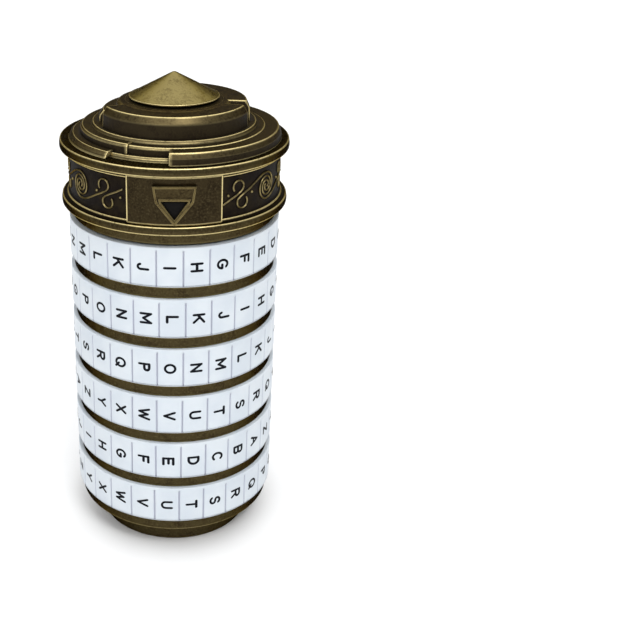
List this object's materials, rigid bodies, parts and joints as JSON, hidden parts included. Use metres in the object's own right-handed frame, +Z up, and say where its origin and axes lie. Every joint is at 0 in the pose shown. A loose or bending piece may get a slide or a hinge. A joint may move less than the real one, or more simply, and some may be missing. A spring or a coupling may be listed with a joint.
{
  "type": "cryptex puzzle container",
  "caption": "Small combination puzzle vault: lettered rings turn on a slotted brass frame and lock a capped, toothed container tube that slides out of the top.",
  "frame": {"origin": "centre of the foot's flat underside, on the cryptex's own axis", "axes": "+Z up the axis towards the pointed finial; -Y towards the pointer plate and the row of lock teeth; +X to its right, where the large heart window is"},
  "size_m": [0.0436, 0.0436, 0.0939],
  "materials": {
    "antique_brass": "antique plated brass, mottled, brushed at the edges",
    "bright_brass": "antique brass, rubbed bright",
    "dark_brass": "blackened brass with rubbed edges",
    "white_plastic": "semi-gloss white with black filled letters",
    "black_enamel": "black filled enamel",
    "spring_steel": "plain steel"
  },
  "bodies": {
    "frame": {"frame_tube": "antique_brass", "top_collar": "antique_brass", "foot_cup": "antique_brass", "foot_screw": "spring_steel"},
    "ring_1": {"tumbler_ring_1": "antique_brass", "letter_ring_1": "white_plastic", "detent_ball_1": "spring_steel", "detent_leaf_1": "spring_steel"},
    "ring_2": {"tumbler_ring_2": "antique_brass", "letter_ring_2": "white_plastic", "detent_ball_2": "spring_steel", "detent_leaf_2": "spring_steel"},
    "ring_3": {"tumbler_ring_3": "antique_brass", "letter_ring_3": "white_plastic", "detent_ball_3": "spring_steel", "detent_leaf_3": "spring_steel"},
    "ring_4": {"tumbler_ring_4": "antique_brass", "letter_ring_4": "white_plastic", "detent_ball_4": "spring_steel", "detent_leaf_4": "spring_steel"},
    "ring_5": {"tumbler_ring_5": "antique_brass", "letter_ring_5": "white_plastic", "detent_ball_5": "spring_steel", "detent_leaf_5": "spring_steel"},
    "ring_6": {"tumbler_ring_6": "antique_brass", "letter_ring_6": "white_plastic", "detent_ball_6": "spring_steel", "detent_leaf_6": "spring_steel"},
    "container": {"container_tube": "antique_brass", "container_base": "antique_brass", "lock_tooth_1": "antique_brass", "lock_tooth_2": "antique_brass", "lock_tooth_3": "antique_brass", "lock_tooth_4": "antique_brass", "lock_tooth_5": "antique_brass", "lock_tooth_6": "antique_brass", "cap_drum": "antique_brass", "index_plate": "antique_brass", "pointer_frame": "bright_brass", "pointer_inlay": "black_enamel", "crown": "dark_brass", "finial_cone": "bright_brass", "finial_stud": "spring_steel", "finial_nut": "antique_brass"}
  },
  "joints": [
    {"name": "ring_1_turn", "type": "hinge", "parent": "frame", "child": "ring_1", "pos_m": [0, 0, 0.0618], "axis": [0, 0, 1], "continuous": true},
    {"name": "ring_2_turn", "type": "hinge", "parent": "frame", "child": "ring_2", "pos_m": [0, 0, 0.0516], "axis": [0, 0, 1], "continuous": true},
    {"name": "ring_3_turn", "type": "hinge", "parent": "frame", "child": "ring_3", "pos_m": [0, 0, 0.0414], "axis": [0, 0, 1], "continuous": true},
    {"name": "ring_4_turn", "type": "hinge", "parent": "frame", "child": "ring_4", "pos_m": [0, 0, 0.0312], "axis": [0, 0, 1], "continuous": true},
    {"name": "ring_5_turn", "type": "hinge", "parent": "frame", "child": "ring_5", "pos_m": [0, 0, 0.021], "axis": [0, 0, 1], "continuous": true},
    {"name": "ring_6_turn", "type": "hinge", "parent": "frame", "child": "ring_6", "pos_m": [0, 0, 0.0108], "axis": [0, 0, 1], "continuous": true},
    {"name": "container_slide", "type": "slide", "parent": "frame", "child": "container", "axis": [0, 0, 1], "range_m": [0, 0.072]}
  ]
}
